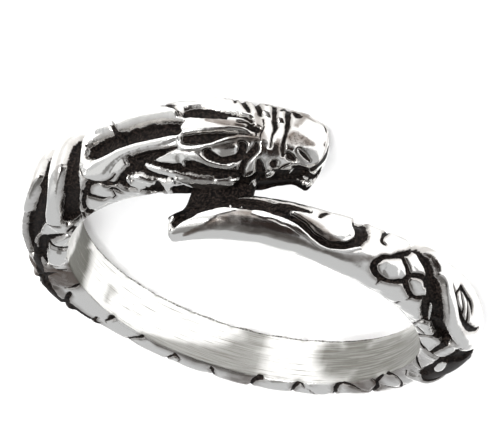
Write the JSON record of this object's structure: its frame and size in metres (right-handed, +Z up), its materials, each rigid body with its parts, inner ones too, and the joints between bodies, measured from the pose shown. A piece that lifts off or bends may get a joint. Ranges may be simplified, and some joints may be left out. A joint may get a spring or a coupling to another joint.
{
  "type": "dragon ring",
  "caption": "Finger ring cast as one dragon: its head lies over its own tail, with horns and scales on the shoulders and a plain back band.",
  "frame": {"origin": "middle of the footprint, on the surface that the ring lies on", "axes": "+Z up from that surface, -Y towards the head and tail, +X towards the neck"},
  "size_m": [0.0236, 0.0228, 0.0066],
  "materials": {
    "silver": "polished cast silver with blackened recesses"
  },
  "bodies": {
    "root": {"ring": "silver"}
  },
  "joints": []
}
